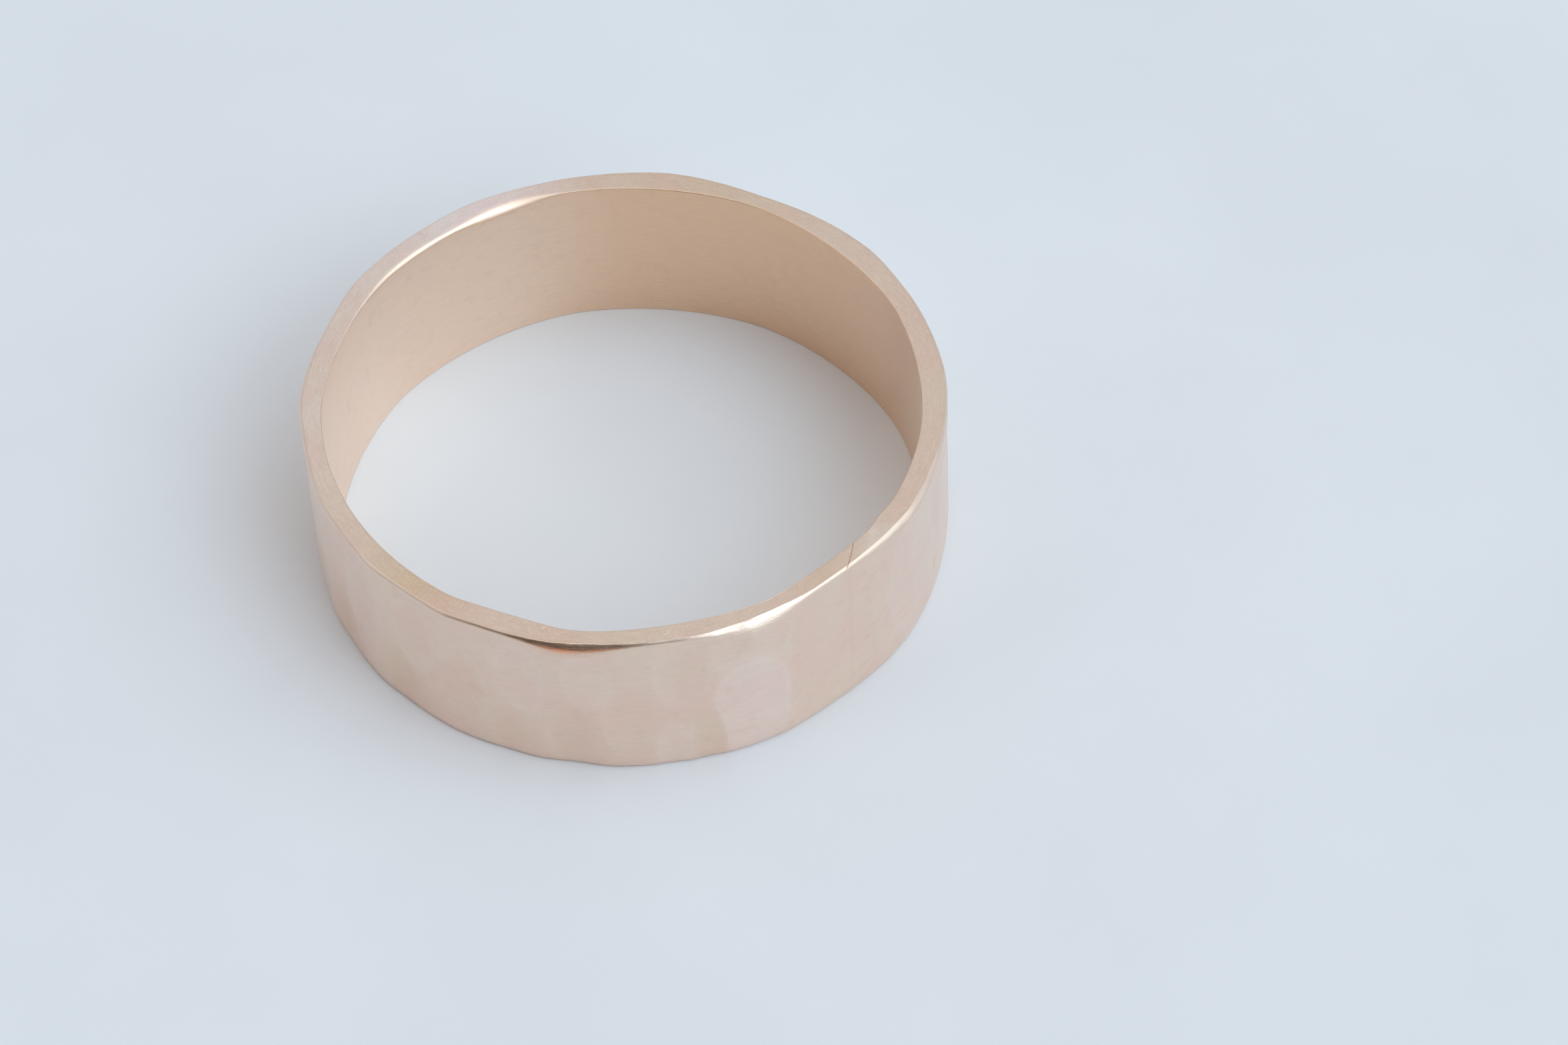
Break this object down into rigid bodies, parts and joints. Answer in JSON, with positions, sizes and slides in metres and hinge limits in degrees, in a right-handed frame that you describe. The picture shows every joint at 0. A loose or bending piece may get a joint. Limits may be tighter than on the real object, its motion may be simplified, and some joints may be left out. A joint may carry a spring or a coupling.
{
  "type": "wedding band",
  "caption": "Plain hammered wedding band in satin rose gold, a flat strip bent into a ring with a slanted soldered joint and a softly broken edge.",
  "frame": {"origin": "centre of the bounding box at the lower rim, on the surface the ring lies on", "axes": "+Z along the ring's axis, up from the surface it lies on; the soldered joint is towards +X and -Y"},
  "size_m": [0.0216, 0.0218, 0.006],
  "materials": {
    "rose_gold": "satin, brushed round the outside, lightly hammered",
    "gold_solder": "satin, filed flush with the strip"
  },
  "bodies": {
    "root": {"band": "rose_gold", "solder_seam": "gold_solder"}
  },
  "joints": []
}
